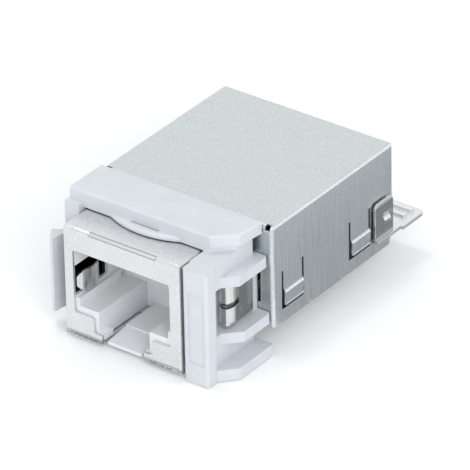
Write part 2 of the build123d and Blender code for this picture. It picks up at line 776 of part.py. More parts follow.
# Wire guide: a moulded carrier whose grooves hold the wires under the forked terminals.
with BuildPart() as wire_guide:
    guide_half = block_half_width + guide_rim
    guide_ends = (shell_middle - guide_half, shell_middle + guide_half)
    guide_length = (block_places[0] - block_depth / 2 - 2 * guide_end_gap, relief_front - guide_end_gap)
    box_between(guide_ends, guide_length, (shell_bottom + shell_sheet + guide_floor_gap, guide_top))
    for x, y in terminals[:4]:
        with BuildSketch(Plane.XZ.offset(-guide_length[0] + 1)):
            with Locations((x, guide_top - guide_groove_depth)):
                Circle(guide_groove_width / 2)
            with Locations((x, guide_top)):
                Rectangle(guide_groove_width * 0.8, guide_groove_width * 0.8)
        extrude(amount=-shell_length, mode=Mode.SUBTRACT)
    tie_bay = (guide_length[0] + guide_bay_wall, guide_length[1] - guide_bay_wall)
    tie_ends = (guide_ends[0] + guide_side_wall, guide_ends[1] - guide_side_wall)
    box_between(tie_ends, tie_bay, (guide_top - guide_bay_depth, guide_top + 1), Mode.SUBTRACT)

save(wire_guide.part, "wire_guide")
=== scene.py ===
# %% [markdown]
# # A shielded snap-in ethernet jack
# The jack is a metal box with a plug socket at its front. A pale plastic collar round the
# socket clips it into a panel, and a ribbed metal tongue at the back holds the cable. The
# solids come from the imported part, and this lesson gives them rounded edges and finishes.
# Lengths are in metres, as in the part, and mm turns millimetres into them. From the socket's
# side, x runs to the right, y to the back and z up.

import math

import bmesh
import bpy
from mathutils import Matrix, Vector


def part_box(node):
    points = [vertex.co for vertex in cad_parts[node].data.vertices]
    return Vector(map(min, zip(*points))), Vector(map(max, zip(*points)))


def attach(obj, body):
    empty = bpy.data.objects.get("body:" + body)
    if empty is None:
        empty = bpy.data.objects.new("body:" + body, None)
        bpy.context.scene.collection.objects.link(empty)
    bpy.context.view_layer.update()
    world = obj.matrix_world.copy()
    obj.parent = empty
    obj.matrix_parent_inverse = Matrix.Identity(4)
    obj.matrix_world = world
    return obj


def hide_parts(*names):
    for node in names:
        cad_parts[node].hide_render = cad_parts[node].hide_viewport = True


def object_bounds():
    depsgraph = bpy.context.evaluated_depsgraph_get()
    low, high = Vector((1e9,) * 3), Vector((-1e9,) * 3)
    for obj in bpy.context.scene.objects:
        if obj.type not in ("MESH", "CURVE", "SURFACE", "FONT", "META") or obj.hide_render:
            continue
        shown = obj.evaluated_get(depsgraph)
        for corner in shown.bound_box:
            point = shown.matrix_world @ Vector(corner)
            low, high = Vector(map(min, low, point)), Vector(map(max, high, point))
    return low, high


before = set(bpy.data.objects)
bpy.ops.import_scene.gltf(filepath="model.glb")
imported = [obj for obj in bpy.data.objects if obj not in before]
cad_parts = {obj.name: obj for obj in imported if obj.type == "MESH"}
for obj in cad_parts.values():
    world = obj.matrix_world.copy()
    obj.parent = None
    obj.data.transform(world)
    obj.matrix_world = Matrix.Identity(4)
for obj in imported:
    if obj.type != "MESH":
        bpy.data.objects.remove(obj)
cad_low, cad_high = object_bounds()
mm = 0.001
print("nodes in the part:", len(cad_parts))
print("part size in mm:", [round(v / mm, 1) for v in cad_high - cad_low])

# %% [markdown]
# ## Small helpers for shader trees
# Each finish below is a tree of nodes, which could be joined by hand in the editor too. In a
# script, helpers that add a node, fill its inputs and join it up in one line are shorter, and
# each finish then reads as a list of what its surface is made of.

# %% Node helpers
def add_node(tree, kind, values=None, **settings):
    """A new node, whose inputs are set to the given values or joined to the given sockets."""
    node = tree.nodes.new(kind)
    for name, value in settings.items():
        setattr(node, name, value)
    for name, value in (values or {}).items():
        if isinstance(value, bpy.types.NodeSocket):
            tree.links.new(value, node.inputs[name])
        else:
            node.inputs[name].default_value = value
    return node


def calculate(tree, operation, first, second=0.0):
    """What a Math node makes of two numbers or sockets."""
    return add_node(tree, "ShaderNodeMath", {0: first, 1: second}, operation=operation).outputs[0]


def remap(tree, value, low, high, to_low, to_high):
    """The value, moved from one range to another and held at that range's ends."""
    limits = {"From Min": low, "From Max": high, "To Min": to_low, "To Max": to_high}
    return add_node(tree, "ShaderNodeMapRange", {"Value": value, **limits}).outputs["Result"]


def mix_colour(tree, factor, first, second, blend="MIX"):
    inputs = {0: factor, 6: first, 7: second}
    return add_node(tree, "ShaderNodeMix", inputs, data_type="RGBA", blend_type=blend).outputs[2]


print("node helpers ready")

# %% [markdown]
# ## Patterns that stay on the part
# The marks of rolling and moulding belong to the part, so they mustn't slide when the camera
# moves. A picture wrapped round the part would stay put too, but it needs seams. Noise on
# Object coordinates has none, and stretching its space along one axis draws it out into
# streaks. The coordinates come in metres and are turned to millimetres here, because the
# marks are less than a millimetre across.

# %% Places and noise
def scaled(tree, vector, scale):
    inputs = {0: vector, "Scale": scale}
    return add_node(tree, "ShaderNodeVectorMath", inputs, operation="SCALE").outputs[0]


def place_in_mm(tree):
    return scaled(tree, add_node(tree, "ShaderNodeTexCoord").outputs["Object"], 1 / mm)


def noise_at(tree, place, scale, detail, stretch=(1.0, 1.0, 1.0)):
    """Noise from 0 to 1, which is drawn out along the axes where the stretch is small."""
    mapping = add_node(tree, "ShaderNodeMapping", {"Vector": place, "Scale": stretch})
    inputs = {"Vector": mapping.outputs[0], "Scale": scale, "Detail": detail, "Roughness": 0.6}
    return add_node(tree, "ShaderNodeTexNoise", inputs).outputs["Fac"]


def swing(tree, noise, reach=1.0):
    """The middle of the noise, spread from minus the reach to plus the reach."""
    return remap(tree, noise, 0.3, 0.7, -reach, reach)


print("pattern helpers ready")

# %% [markdown]
# ## Shared groups
# All the sheets of this jack were rolled alike, and all its plastics moulded alike. Each such
# effect could be built again in every material, but then a change would have to be made many
# times. A node group is built once, and each finish places it with its own strengths.

# %% A function that starts a group
def make_group(name, inputs, outputs):
    group = bpy.data.node_groups.new(name, "ShaderNodeTree")
    for socket_name, value in inputs.items():
        entry = group.interface.new_socket(socket_name, in_out="INPUT", socket_type="NodeSocketFloat")
        entry.default_value = value
    for socket_name in outputs:
        group.interface.new_socket(socket_name, in_out="OUTPUT", socket_type="NodeSocketFloat")
    return group, group.nodes.new("NodeGroupInput").outputs, group.nodes.new("NodeGroupOutput")


def give_out(group, group_out, results):
    for name, value in results.items():
        group.links.new(value, group_out.inputs[name])
    print(group.name, "group:", len(group.nodes), "nodes")


print("group helpers ready")

# %% [markdown]
# ## Sheet grain, the marks of rolled metal
# Rolled sheet has fine streaks along its rolling direction and a soft mottle over it. One
# strip of streaks for each face would stop at the folds. Here the noise is stretched hugely
# along two axes, so that the streaks run across the top of the box and on down its sides, as
# they do when a flat blank is folded. They are weaker on top, where the finish was rubbed.

# %% Streaks and mottle
grain, grain_in, grain_out = make_group(
    "sheet_grain",
    {
        "Streak": 0.1,
        "Mottle": 0.1,
        "Roughness": 0.4,
        "Roughness spread": 0.1,
        "Fineness": 1.0,
        "Highlight and gloss": 0.0,
    },
    ["Light", "Roughness", "Height"],
)
streak_stretch = (0.16, 6.0, 0.16)
streak_share_on_top = 0.25
fine_place = scaled(grain, place_in_mm(grain), grain_in["Fineness"])
streak_noise = noise_at(grain, fine_place, scale=1.0, detail=4.0, stretch=streak_stretch)
streaks = swing(grain, streak_noise)
mottle = swing(grain, noise_at(grain, fine_place, scale=4.5, detail=4.0))
facing = add_node(grain, "ShaderNodeTexCoord").outputs["Normal"]
tilt = add_node(grain, "ShaderNodeSeparateXYZ", {"Vector": facing}).outputs["Z"]
upward = calculate(grain, "ABSOLUTE", tilt)
share = remap(grain, upward, 0.0, 1.0, 1.0, streak_share_on_top)
streak_strength = calculate(grain, "MULTIPLY", share, grain_in["Streak"])
streak_part = calculate(grain, "MULTIPLY", streaks, streak_strength)
mottle_part = calculate(grain, "MULTIPLY", mottle, grain_in["Mottle"])
marks = calculate(grain, "ADD", streak_part, mottle_part)
print("streaks keep this share on top:", streak_share_on_top)

# %% [markdown]
# ## Painted highlight on tilted faces
# The swell of a spring tab gets a painted highlight: a brighter colour, with a smoother surface.
# It could be a material of its own, but its edge would then be a hard line. On the box only
# those swells and the rounded edges, which get the highlight too, tilt up a little. So the
# face's own direction picks them out, and the change is gradual.

# %% Painted highlight, and what the grain gives out
painted_highlight_gain = 1.35
roughness_under_highlight = 0.4
# Painted highlight: faces that tilt up a little get a brighter colour and a lower roughness.
leaves_upright = remap(grain, upward, 0.1, 0.2, 0.0, 1.0)
not_yet_level = remap(grain, upward, 0.6, 0.8, 1.0, 0.0)
tilted = calculate(grain, "MULTIPLY", leaves_upright, not_yet_level)
tilt_highlight_share = calculate(grain, "MULTIPLY", tilted, grain_in["Highlight and gloss"])
painted_highlight = remap(grain, tilt_highlight_share, 0.0, 1.0, 1.0, painted_highlight_gain)
smoother = remap(grain, tilt_highlight_share, 0.0, 1.0, 1.0, roughness_under_highlight)
light = calculate(grain, "ADD", marks, 1.0)
rough_change = calculate(grain, "MULTIPLY", marks, grain_in["Roughness spread"])
rough = calculate(grain, "ADD", rough_change, grain_in["Roughness"])
give_out(
    grain,
    grain_out,
    {
        "Light": calculate(grain, "MULTIPLY", light, painted_highlight),
        "Roughness": calculate(grain, "MULTIPLY", rough, smoother),
        "Height": marks,
    },
)

# %% [markdown]
# ## Moulded surface, the skin of the plastics
# Moulded plastic is never quite even: its tone wanders a little over the part, and a very
# fine texture from the mould breaks up its gloss. The texture is far too small to be worth
# modelling. Two noises do both, a slow one for the tone and a fine one for the texture.

# %% Moulded surface group
moulded, moulded_in, moulded_out = make_group(
    "moulded_surface", {"Tone spread": 0.03, "Roughness": 0.45}, ["Tone", "Roughness", "Height"]
)
roughness_swing = 0.06
place = place_in_mm(moulded)
cloud = swing(moulded, noise_at(moulded, place, scale=0.35, detail=2.0))
pebble = noise_at(moulded, place, scale=9.0, detail=2.0)
tone_change = calculate(moulded, "MULTIPLY", cloud, moulded_in["Tone spread"])
rough_change = swing(moulded, pebble, roughness_swing)
give_out(
    moulded,
    moulded_out,
    {
        "Tone": calculate(moulded, "ADD", tone_change, 1.0),
        "Roughness": calculate(moulded, "ADD", rough_change, moulded_in["Roughness"]),
        "Height": pebble,
    },
)

# %% [markdown]
# ## Side band, a group that picks out where shade is painted
# Little light gets into the pocket round a plug spring, and its walls look nearly black. The
# even light of this scene would leave them too pale, so the finishes darken them. A second
# material on some faces could do that, but the faces run on past the pocket. The group gives 1
# between two distances from the socket's middle plane, behind a given depth and within a given
# height above and below the middle. The shield, the insert, the springs and the tongue use it.

# %% Side band group
def all_of(tree, tests):
    """1 where every test gives 1, or else 0."""
    result = tests[0]
    for test in tests[1:]:
        result = calculate(tree, "MULTIPLY", result, test)
    return result


def axes_in_mm(tree):
    return add_node(tree, "ShaderNodeSeparateXYZ", {"Vector": place_in_mm(tree)}).outputs


band, band_in, band_out = make_group(
    "side_band", {"From": 6.3, "To": 7.05, "Depth": 0.35, "Half height": 2.2}, ["Inside"]
)
axes = axes_in_mm(band)
distance = calculate(band, "ABSOLUTE", axes["X"])
height = calculate(band, "ABSOLUTE", axes["Z"])
tests = [
    calculate(band, "GREATER_THAN", distance, band_in["From"]),
    calculate(band, "LESS_THAN", distance, band_in["To"]),
    calculate(band, "GREATER_THAN", axes["Y"], band_in["Depth"]),
    calculate(band, "LESS_THAN", height, band_in["Half height"]),
]
give_out(band, band_out, {"Inside": all_of(band, tests)})

# %% [markdown]
# ## What every finish starts from
# A finish is a Principled shader whose colour, roughness and bump come from a shared group. A
# single flat colour would look like a toy. Here the colour is a plain one times a light value
# that changes over the surface, as the marks of making do on the real one. On the box that
# value also carries the painted highlight of tilted faces.

# %% Start a finish, and join it up
finishes = {}


def start_material(name, **plain):
    material = bpy.data.materials.new(name)
    material.use_nodes = True
    shader = material.node_tree.nodes["Principled BSDF"]
    for input_name, value in plain.items():
        shader.inputs[input_name].default_value = value
    return material, material.node_tree, shader


def tinted(tree, colour, light):
    """The colour times a light value that changes over the surface."""
    grey = add_node(tree, "ShaderNodeCombineColor", {"Red": light, "Green": light, "Blue": light})
    return mix_colour(tree, 1.0, (*colour, 1.0), grey.outputs[0], "MULTIPLY")


def dress(tree, shader, shade, skin, bump_strength):
    """Joins the colour to the shader, and the roughness and the bump of the shared group."""
    depth = 0.02 * mm
    inputs = {"Height": skin["Height"], "Strength": bump_strength, "Distance": depth}
    bump = add_node(tree, "ShaderNodeBump", inputs)
    tree.links.new(shade, shader.inputs["Base Color"])
    tree.links.new(skin["Roughness"], shader.inputs["Roughness"])
    tree.links.new(bump.outputs["Normal"], shader.inputs["Normal"])


print("finish helpers ready")

# %% [markdown]
# ## Places of another colour
# A finish can turn to another colour in a side band or between two heights: painted shade in the
# side bands and on the roof of the socket, and dark specks at the bottom of the flaps. Painting
# those places on a picture would work too, but places in millimetres can be checked against the part.

# %% Layers and height bands
def with_painted_shade(tree, shade, shade_bands):
    """The shade, turned to a painted shade colour inside each side band."""
    for limits, colour in shade_bands:
        inside = add_node(tree, "ShaderNodeGroup", limits, node_tree=band).outputs["Inside"]
        shade = mix_colour(tree, inside, shade, (*colour, 1.0))
    return shade


def height_band(tree, low, high, reach=100.0):
    """1 between two heights and no farther back than the reach, all in mm, or else 0."""
    axes = axes_in_mm(tree)
    tests = [
        calculate(tree, "GREATER_THAN", axes["Z"], low),
        calculate(tree, "LESS_THAN", axes["Z"], high),
        calculate(tree, "LESS_THAN", axes["Y"], reach),
    ]
    return all_of(tree, tests)


# Painted shade: the pocket round the plug springs turns nearly black.
pocket = ({"From": 6.3, "To": 7.05, "Depth": 0.35, "Half height": 2.2}, (0.03, 0.035, 0.033))
# Painted shade on the panel spring's plate behind its noses, which lies deep in the window.
behind_noses_shade = ({"From": 8.0, "To": 12.0, "Depth": 4.9, "Half height": 3.5}, (0.3, 0.33, 0.315))
# Painted dark reflection on the outer face of the tongue's arm.
arm_face_dark_reflection = ({"From": 12.44, "To": 12.6, "Depth": 20.0, "Half height": 1.8}, (0.38, 0.395, 0.39))
# Painted shade: the roof of the socket, where the slot in the shield shows it.
roof_slot_shade = (5.5, 7.0, (0.6, 0.585, 0.575))
flap_edge = (-6.3, -5.93, 0.25)
print("plug spring pocket in mm:", pocket[0])
print("panel spring behind its noses in mm:", behind_noses_shade[0])
print("outer face of the tongue's right arm in mm:", arm_face_dark_reflection[0])
print("roof of the socket in mm:", roof_slot_shade[:2], "cut edge of the flaps in mm:", flap_edge)

# %% [markdown]
# ## Sheet metal
# The box, the shield and the tongue are folded from tin plate, and the springs, the wires and
# the terminals are stamped from brighter strip. All are metal with the marks of rolling, so
# one function makes them. Along the bottom edge of the shield's flaps the colour turns dark in
# a thin band, which the grain breaks into specks. Its teeth could be modelled, but they are
# finer than the rounding of the edge, so the grain breaks a dark band into specks instead.

# %% A function for sheet metal
def dark_speckled_band(tree, shade, marks, edge):
    """The shade, with dark specks in a band. The band is two heights and a reach, in mm."""
    speck_grey = (0.2, 0.21, 0.22, 1.0)
    faintest_speck = 0.25
    mark_size = 0.06
    specks = remap(tree, marks, -mark_size, mark_size, faintest_speck, 1.0)
    speckled = calculate(tree, "MULTIPLY", height_band(tree, *edge), specks)
    return mix_colour(tree, speckled, shade, speck_grey)


def sheet_metal(
    name, colour, streak, mottle, roughness, fineness=1.0, highlight_and_gloss=0.0, shade_bands=(), speck_band=None
):
    material, tree, shader = start_material(name, Metallic=1.0)
    strengths = {
        "Streak": streak,
        "Mottle": mottle,
        "Roughness": roughness,
        "Roughness spread": 0.25,
        "Fineness": fineness,
        "Highlight and gloss": highlight_and_gloss,
    }
    skin = add_node(tree, "ShaderNodeGroup", strengths, node_tree=grain).outputs
    shade = with_painted_shade(tree, tinted(tree, colour, skin["Light"]), shade_bands)
    if speck_band:
        shade = dark_speckled_band(tree, shade, skin["Height"], speck_band)
    dress(tree, shader, shade, skin, bump_strength=0.15)
    finishes[name] = material


print("sheet metal ready")

# %% [markdown]
# ## Moulded plastic
# The collar, the socket and the wire guide are white plastic, and the terminal blocks are
# black. The board is glass laminate, whose smooth skin is much the same. Where the slot in the
# shield shows the roof of the socket, the roof gets a darker colour of painted shade. The lamp
# above shines into the slot, so the modelled shadow alone leaves it too pale.

# %% A function for moulded plastic
def moulded_plastic(name, colour, roughness, shade_bands=(), slot_shade=None):
    """The slot shade, where there is one, is two heights in mm and the painted shade colour between
    them.
    """
    material, tree, shader = start_material(name)
    skin = add_node(tree, "ShaderNodeGroup", {"Roughness": roughness}, node_tree=moulded).outputs
    shade = with_painted_shade(tree, tinted(tree, colour, skin["Tone"]), shade_bands)
    if slot_shade:
        low, high, slot_shade_colour = slot_shade
        # Painted shade on the roof of the socket between the two heights.
        shade = mix_colour(tree, height_band(tree, low, high), shade, (*slot_shade_colour, 1.0))
    dress(tree, shader, shade, skin, bump_strength=0.05)
    finishes[name] = material


print("moulded plastic ready")

# %% [markdown]
# ## The plastics
# Each finish is one call with its own colour and strengths. The colours are those of the
# materials themselves under a white light. They could be paler under dimmer lamps and look
# the same here, but then they would look wrong in any other scene.

# %% Make the plastics
moulded_plastic("frame_plastic", (0.625, 0.655, 0.69), roughness=0.42)
moulded_plastic(
    "insert_plastic",
    (0.775, 0.8, 0.83),
    roughness=0.38,
    shade_bands=[pocket],
    slot_shade=roof_slot_shade,
)
moulded_plastic("guide_plastic", (0.7, 0.72, 0.75), roughness=0.45)
moulded_plastic("block_plastic", (0.03, 0.03, 0.034), roughness=0.4)
moulded_plastic("board", (0.02, 0.12, 0.05), roughness=0.25)
print("plastics:", ", ".join(finishes))

# %% [markdown]
# ## The metals
# The box has the strongest marks and a painted highlight on its tabs, and the springs are almost
# polished.
# The wires are gold. One grey for all the others would be simpler, but side by side the real
# ones differ a little. The outer face of the tongue's arm gets a darker colour, a painted dark
# reflection, while its rounded rim stays bright.

# %% Make the metals
# The box gets a painted highlight on its tilted tab swells and rounded edges.
sheet_metal(
    "cover_metal", (0.63, 0.665, 0.685), streak=0.12, mottle=0.11, roughness=0.38, highlight_and_gloss=0.8
)
sheet_metal("tray_metal", (0.70, 0.72, 0.74), streak=0.10, mottle=0.05, roughness=0.42)
sheet_metal(
    "front_metal",
    (0.74, 0.75, 0.76),
    streak=0.06,
    mottle=0.12,
    roughness=0.36,
    shade_bands=[pocket],
    speck_band=flap_edge,
)
sheet_metal(
    "relief_metal",
    (0.78, 0.795, 0.805),
    streak=0.05,
    mottle=0.08,
    roughness=0.3,
    shade_bands=[arm_face_dark_reflection],
)
sheet_metal(
    "spring_metal",
    (0.74, 0.74, 0.73),
    streak=0.3,
    mottle=0.02,
    roughness=0.14,
    fineness=0.4,
    shade_bands=[pocket, behind_noses_shade],
)
sheet_metal("contact_metal", (0.85, 0.64, 0.32), streak=0.03, mottle=0.02, roughness=0.22)
sheet_metal("terminal_metal", (0.74, 0.72, 0.68), streak=0.04, mottle=0.04, roughness=0.28)
print("all finishes:", ", ".join(finishes))

# %% [markdown]
# ## Rounded copies of the CAD pieces
# A real moulding or folded sheet has no perfectly sharp edge, and the thin highlights along its
# edges are what make it look solid. A CAD node's mesh is loose triangles and may not be
# changed, so each piece here is a copy: its doubles are merged, its flat faces joined, and a
# small Bevel modifier rounds what is sharp. Subdivision would round it too, but it would also
# pull the flat faces out of true. The copy then stands for the CAD node.

# %% A function that makes a rounded copy
same_point = 0.0005 * mm
flat_within = math.radians(0.5)
sharp_from = math.radians(35)


def rounded_copy(node, name, finish, width, segments=2):
    """The width of the rounding is in millimetres."""
    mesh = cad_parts[node].data.copy()
    mesh.name = name
    shape = bmesh.new()
    shape.from_mesh(mesh)
    bmesh.ops.remove_doubles(shape, verts=shape.verts, dist=same_point)
    bmesh.ops.dissolve_limit(shape, angle_limit=flat_within, verts=shape.verts, edges=shape.edges)
    shape.to_mesh(mesh)
    shape.free()
    piece = bpy.data.objects.new(name, mesh)
    bpy.context.scene.collection.objects.link(piece)
    mesh.materials.clear()
    mesh.materials.append(finishes[finish])
    mesh.shade_smooth()
    rounding = piece.modifiers.new("rounding", "BEVEL")
    rounding.width = width * mm
    rounding.segments = segments
    rounding.limit_method = "ANGLE"
    rounding.angle_limit = sharp_from
    shading = piece.modifiers.new("even shading", "WEIGHTED_NORMAL")
    shading.keep_sharp = True
    shading.weight = 80
    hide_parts(node)
    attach(piece, "root")
    print(name, "faces before rounding:", len(mesh.polygons))


print("edges are rounded from degrees:", round(math.degrees(sharp_from)))

# %% [markdown]
# ## Which pieces are rounded, and how much
# The five large pieces are rounded. One width for all would be simpler, but the collar is a
# thick moulding with soft edges, the tongue is heavier sheet than the box, and the shield's
# thin folded edges would lose their shape under the collar's rounding.

# %% Round the visible pieces
rounded_copy("mounting_frame", "collar", "frame_plastic", width=0.13, segments=3)
rounded_copy("socket_insert", "socket", "insert_plastic", width=0.06)
rounded_copy("front_shield", "face_shield", "front_metal", width=0.05)
rounded_copy("rear_cover", "rear_shell", "cover_metal", width=0.05)
rounded_copy("strain_relief", "tongue", "relief_metal", width=0.08)

# %% [markdown]
# ## The line of a contact wire
# Each gold wire comes down from the board, bends forward along the socket's roof, turns round
# a nose at the front and runs back down into the socket, where it springs against the plug.
# It could be drawn point by point, but it is one line with two arcs, so its points are worked
# out from the two bends, and its top, its tail and its front come from the CAD wires. There
# are two such lines, a long and a short one, because the tails stand in two rows so that the
# holes in the board don't run together.

# %% Centre lines of the long and the short wire
wire_thickness = 0.35
roof_height = 4.375
tail_bend = 0.5
tail_steps = 6
nose_bend = 0.275
nose_steps = 8
free_end = [(7.1, 2.05), (7.35, 2.0), (7.6, 2.1)]
wire_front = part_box("contact_1")[0].y / mm
wire_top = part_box("contact_1")[1].z / mm
tails = [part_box(node)[1].y / mm - wire_thickness / 2 for node in ("contact_1", "contact_2")]


def wire_line(tail):
    """Points (y, z) in millimetres, from the board forward and down to the free end."""
    bend_y, bend_z = tail - tail_bend, roof_height + tail_bend
    points = [(tail, wire_top), (tail, bend_z)]
    for step in range(1, tail_steps + 1):
        a = math.radians(90 * step / tail_steps)
        points.append((bend_y + tail_bend * math.cos(a), bend_z - tail_bend * math.sin(a)))
    nose_y = wire_front + wire_thickness / 2 + nose_bend
    nose_z = roof_height - nose_bend
    for step in range(nose_steps + 1):
        a = math.radians(90 + 180 * step / nose_steps)
        points.append((nose_y + nose_bend * math.cos(a), nose_z + nose_bend * math.sin(a)))
    return points + free_end


wire_curve = bpy.data.curves.new("contact_wires", "CURVE")
wire_curve.dimensions = "3D"
for tail in tails:
    line = wire_line(tail)
    spline = wire_curve.splines.new("POLY")
    spline.points.add(len(line) - 1)
    for point, (y, z) in zip(spline.points, line):
        point.co = (0.0, y * mm, z * mm, 1.0)
wires = bpy.data.objects.new("contact_wires", wire_curve)
bpy.context.scene.collection.objects.link(wires)
print("tails at y mm:", [round(tail, 3) for tail in tails])

# %% [markdown]
# ## Helpers for Geometry Nodes
# What repeats is made by a tree of geometry nodes on a small starting shape. The tree could
# stay live, but the library keeps plain meshes, so its result is taken as a mesh once and the
# starting shape is thrown away.

# %% Start a tree, and keep its result
def geometry_tree(name, inputs):
    tree = bpy.data.node_groups.new(name, "GeometryNodeTree")
    tree.interface.new_socket("Geometry", in_out="INPUT", socket_type="NodeSocketGeometry")
    for socket_name, (kind, value) in inputs.items():
        entry = tree.interface.new_socket(socket_name, in_out="INPUT", socket_type=kind)
        entry.default_value = value
    tree.interface.new_socket("Geometry", in_out="OUTPUT", socket_type="NodeSocketGeometry")
    return tree, tree.nodes.new("NodeGroupInput").outputs, tree.nodes.new("NodeGroupOutput")


def dressed_result(tree, tree_out, geometry, finish):
    """Ends the tree: its copies become real geometry, which takes the finish."""
    real = add_node(tree, "GeometryNodeRealizeInstances", {"Geometry": geometry})
    inputs = {"Geometry": real.outputs[0], "Material": finish}
    dressed = add_node(tree, "GeometryNodeSetMaterial", inputs)
    tree.links.new(dressed.outputs[0], tree_out.inputs["Geometry"])


def baked_mesh(holder, tree, values, name):
    """Runs the tree on the holder and keeps the result as a plain mesh object."""
    modifier = holder.modifiers.new("build", "NODES")
    modifier.node_group = tree
    for item in tree.interface.items_tree:
        if item.in_out == "INPUT" and item.name in values:
            modifier[item.identifier] = values[item.name]
    depsgraph = bpy.context.evaluated_depsgraph_get()
    mesh = bpy.data.meshes.new_from_object(holder.evaluated_get(depsgraph), depsgraph=depsgraph)
    bpy.data.objects.remove(holder)
    mesh.name = name
    piece = bpy.data.objects.new(name, mesh)
    bpy.context.scene.collection.objects.link(piece)
    low, high = Vector(piece.bound_box[0]), Vector(piece.bound_box[6])
    print(name, "faces:", len(mesh.polygons))
    print(name, "from", [round(v / mm, 2) for v in low], "to", [round(v / mm, 2) for v in high])
    return piece


print("geometry helpers ready")

# %% [markdown]
# ## One wire from a line and a section
# A contact wire is stamped from flat strip, so its section is a small rectangle with rounded
# corners. A curve's own bevel would make it round, so that section is swept along the centre
# lines instead. The two wires, long and short, come out as two islands of one mesh, and each
# becomes an instance to choose from.

# %% Sweep the section along the lines
row, row_in, row_out = geometry_tree(
    "wire_row",
    {
        "Count": ("NodeSocketInt", 8),
        "Pitch": ("NodeSocketFloat", 1.02 * mm),
        "Width": ("NodeSocketFloat", 0.45 * mm),
        "Thickness": ("NodeSocketFloat", wire_thickness * mm),
        "Corner": ("NodeSocketFloat", 0.06 * mm),
        "Finish": ("NodeSocketMaterial", finishes["contact_metal"]),
    },
)
section = add_node(
    row,
    "GeometryNodeCurvePrimitiveQuadrilateral",
    {"Width": row_in["Width"], "Height": row_in["Thickness"]},
)
rounded = add_node(
    row,
    "GeometryNodeFilletCurve",
    {"Curve": section.outputs[0], "Radius": row_in["Corner"], "Count": 2},
    mode="POLY",
)
swept = add_node(
    row,
    "GeometryNodeCurveToMesh",
    {"Curve": row_in["Geometry"], "Profile Curve": rounded.outputs[0], "Fill Caps": True},
)
island = add_node(row, "GeometryNodeInputMeshIsland").outputs["Island Index"]
variants = add_node(
    row,
    "GeometryNodeSplitToInstances",
    {"Geometry": swept.outputs[0], "Group ID": island},
    domain="FACE",
)
print("wire_row nodes so far:", len(row.nodes))

# %% [markdown]
# ## Eight wires in a row
# The wires lie side by side at an even pitch, the long and the short one by turns. Copying
# them by hand would hide that rule. Here a line of points carries it: each point takes the
# first or the second wire, going by whether its number is even or odd.

# %% Set the wires out
gaps = calculate(row, "SUBTRACT", row_in["Count"], 1.0)
span = calculate(row, "MULTIPLY", gaps, row_in["Pitch"])
start = add_node(row, "ShaderNodeCombineXYZ", {"X": calculate(row, "MULTIPLY", span, -0.5)})
stride = add_node(row, "ShaderNodeCombineXYZ", {"X": row_in["Pitch"]})
places = add_node(
    row,
    "GeometryNodeMeshLine",
    {"Count": row_in["Count"], "Start Location": start.outputs[0], "Offset": stride.outputs[0]},
)
number = add_node(row, "GeometryNodeInputIndex").outputs[0]
set_out = add_node(
    row,
    "GeometryNodeInstanceOnPoints",
    {
        "Points": places.outputs[0],
        "Instance": variants.outputs["Instances"],
        "Pick Instance": True,
        "Instance Index": calculate(row, "MODULO", number, 2.0),
    },
)
dressed_result(row, row_out, set_out.outputs[0], row_in["Finish"])
wire_set = baked_mesh(wires, row, {"Finish": finishes["contact_metal"]}, "wire_set")
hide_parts(*[f"contact_{number}" for number in range(1, 9)])
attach(wire_set, "root")

# %% [markdown]
# ## A forked terminal
# Under the board hang eight forked blades that bite on the cable's wires. A blade could be a
# block with its slot cut out, but it is flat metal, so it is drawn as one outline and given
# its thickness by an extrusion. Only the right half of the outline is written down: a neck, a
# shoulder, a foot, and a slot with a wide mouth that guides the wire in. The left half is its
# mirror image.

# %% One blade
blade_low, blade_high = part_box("idc_1")
half_width = (blade_high.x - blade_low.x) / 2 / mm
blade_thickness = blade_high.y - blade_low.y
foot, top = blade_low.z / mm, blade_high.z / mm
shoulder = 4.95
slot_top = 2.9
half_neck = 0.45
half_mouth = 0.55
half_slot = 0.175
right_half = [
    (half_neck, top),
    (half_neck, shoulder),
    (half_width, shoulder),
    (half_width, foot),
    (half_mouth, foot),
    (half_slot, foot + half_mouth - half_slot),
    (half_slot, slot_top),
]
outline = right_half + [(-x, z) for x, z in reversed(right_half)]
shape = bmesh.new()
corners = [shape.verts.new((x * mm, -blade_thickness / 2, z * mm)) for x, z in outline]
grown = bmesh.ops.extrude_face_region(shape, geom=[shape.faces.new(corners)])
moved = [item for item in grown["geom"] if isinstance(item, bmesh.types.BMVert)]
bmesh.ops.translate(shape, vec=(0, blade_thickness, 0), verts=moved)
bmesh.ops.recalc_face_normals(shape, faces=shape.faces)
bmesh.ops.triangulate(shape, faces=shape.faces)
blade_mesh = bpy.data.meshes.new("terminal_blades")
shape.to_mesh(blade_mesh)
shape.free()
blades = bpy.data.objects.new("terminal_blades", blade_mesh)
bpy.context.scene.collection.objects.link(blades)
print("blade faces:", len(blade_mesh.polygons))

# %% [markdown]
# ## Four by two terminals
# The terminals stand in two rows of four, so that the cable's wires can be laid in from both
# sides. Eight copies could be placed one by one, but a grid of points is that rule, and each
# of its points takes a copy of the blade. The first and the last CAD terminal give the grid's
# size and its middle.

